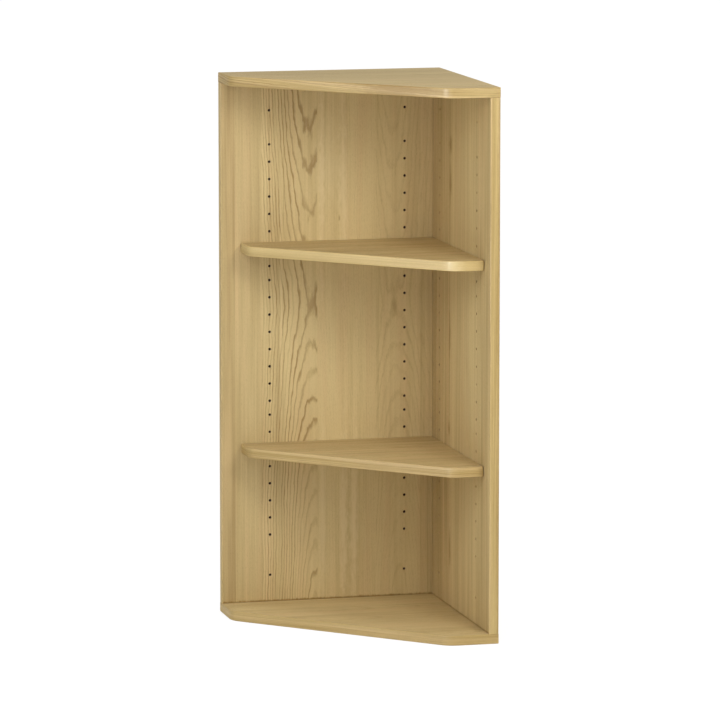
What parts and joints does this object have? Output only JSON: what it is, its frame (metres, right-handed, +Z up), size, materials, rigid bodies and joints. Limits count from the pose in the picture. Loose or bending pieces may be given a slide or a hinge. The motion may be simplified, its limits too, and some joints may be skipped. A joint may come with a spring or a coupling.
{
  "type": "corner shelf unit",
  "caption": "Free-standing oak corner shelf unit: two panels at a right angle, boards with a diagonal front, and loose shelves resting on pins in rows of holes.",
  "frame": {"origin": "middle of the footprint's bounding square, on the underside of the bottom board", "axes": "+Z up; the walls are at +X and +Y; the open diagonal front faces -X and -Y"},
  "size_m": [0.418, 0.418, 1],
  "materials": {
    "oak_veneer": "clear satin lacquer on oak veneer",
    "oak_edge_band": "clear satin lacquer on oak edge band",
    "steel": "nickel-plated",
    "zinc": "die-cast zinc, satin",
    "beech": "bare beech, fluted"
  },
  "bodies": {
    "carcass": {"top_board": "oak_veneer", "top_board_edge_band": "oak_edge_band", "bottom_board": "oak_veneer", "bottom_board_edge_band": "oak_edge_band", "back_panel": "oak_veneer", "back_panel_edge_band": "oak_edge_band", "side_panel": "oak_veneer", "side_panel_edge_band": "oak_edge_band", "back_top_cam_bolt_1": "steel", "back_top_cam_lock_1": "zinc", "back_top_dowel_1": "beech", "back_top_cam_bolt_2": "steel", "back_top_cam_lock_2": "zinc", "back_top_dowel_2": "beech", "back_bottom_cam_bolt_1": "steel", "back_bottom_cam_lock_1": "zinc", "back_bottom_dowel_1": "beech", "back_bottom_cam_bolt_2": "steel", "back_bottom_cam_lock_2": "zinc", "back_bottom_dowel_2": "beech", "side_top_cam_bolt_1": "steel", "side_top_cam_lock_1": "zinc", "side_top_dowel_1": "beech", "side_top_cam_bolt_2": "steel", "side_top_cam_lock_2": "zinc", "side_top_dowel_2": "beech", "side_bottom_cam_bolt_1": "steel", "side_bottom_cam_lock_1": "zinc", "side_bottom_dowel_1": "beech", "side_bottom_cam_bolt_2": "steel", "side_bottom_cam_lock_2": "zinc", "side_bottom_dowel_2": "beech", "corner_screw_1": "steel", "corner_screw_2": "steel", "corner_screw_3": "steel", "corner_dowel_1": "beech", "corner_dowel_2": "beech"},
    "upper_shelf": {"upper_shelf": "oak_veneer", "upper_shelf_edge_band": "oak_edge_band"},
    "lower_shelf": {"lower_shelf": "oak_veneer", "lower_shelf_edge_band": "oak_edge_band"},
    "upper_back_pin_1_body": {"upper_shelf_back_pin_1": "steel"},
    "upper_back_pin_2_body": {"upper_shelf_back_pin_2": "steel"},
    "upper_side_pin_1_body": {"upper_shelf_side_pin_1": "steel"},
    "upper_side_pin_2_body": {"upper_shelf_side_pin_2": "steel"},
    "lower_back_pin_1_body": {"lower_shelf_back_pin_1": "steel"},
    "lower_back_pin_2_body": {"lower_shelf_back_pin_2": "steel"},
    "lower_side_pin_1_body": {"lower_shelf_side_pin_1": "steel"},
    "lower_side_pin_2_body": {"lower_shelf_side_pin_2": "steel"}
  },
  "joints": [
    {"name": "upper_shelf_lift", "type": "slide", "parent": "carcass", "child": "upper_shelf", "axis": [0, 0, 1], "range_m": [0, 0.29]},
    {"name": "lower_shelf_lift", "type": "slide", "parent": "carcass", "child": "lower_shelf", "axis": [0, 0, 1], "range_m": [0, 0.35]},
    {"name": "upper_back_pin_1_pull", "type": "slide", "parent": "carcass", "child": "upper_back_pin_1_body", "axis": [0, -1, 0], "range_m": [0, 0.0115]},
    {"name": "upper_back_pin_2_pull", "type": "slide", "parent": "carcass", "child": "upper_back_pin_2_body", "axis": [0, -1, 0], "range_m": [0, 0.0115]},
    {"name": "upper_side_pin_1_pull", "type": "slide", "parent": "carcass", "child": "upper_side_pin_1_body", "axis": [-1, 0, 0], "range_m": [0, 0.0115]},
    {"name": "upper_side_pin_2_pull", "type": "slide", "parent": "carcass", "child": "upper_side_pin_2_body", "axis": [-1, 0, 0], "range_m": [0, 0.0115]},
    {"name": "lower_back_pin_1_pull", "type": "slide", "parent": "carcass", "child": "lower_back_pin_1_body", "axis": [0, -1, 0], "range_m": [0, 0.0115]},
    {"name": "lower_back_pin_2_pull", "type": "slide", "parent": "carcass", "child": "lower_back_pin_2_body", "axis": [0, -1, 0], "range_m": [0, 0.0115]},
    {"name": "lower_side_pin_1_pull", "type": "slide", "parent": "carcass", "child": "lower_side_pin_1_body", "axis": [-1, 0, 0], "range_m": [0, 0.0115]},
    {"name": "lower_side_pin_2_pull", "type": "slide", "parent": "carcass", "child": "lower_side_pin_2_body", "axis": [-1, 0, 0], "range_m": [0, 0.0115]}
  ]
}
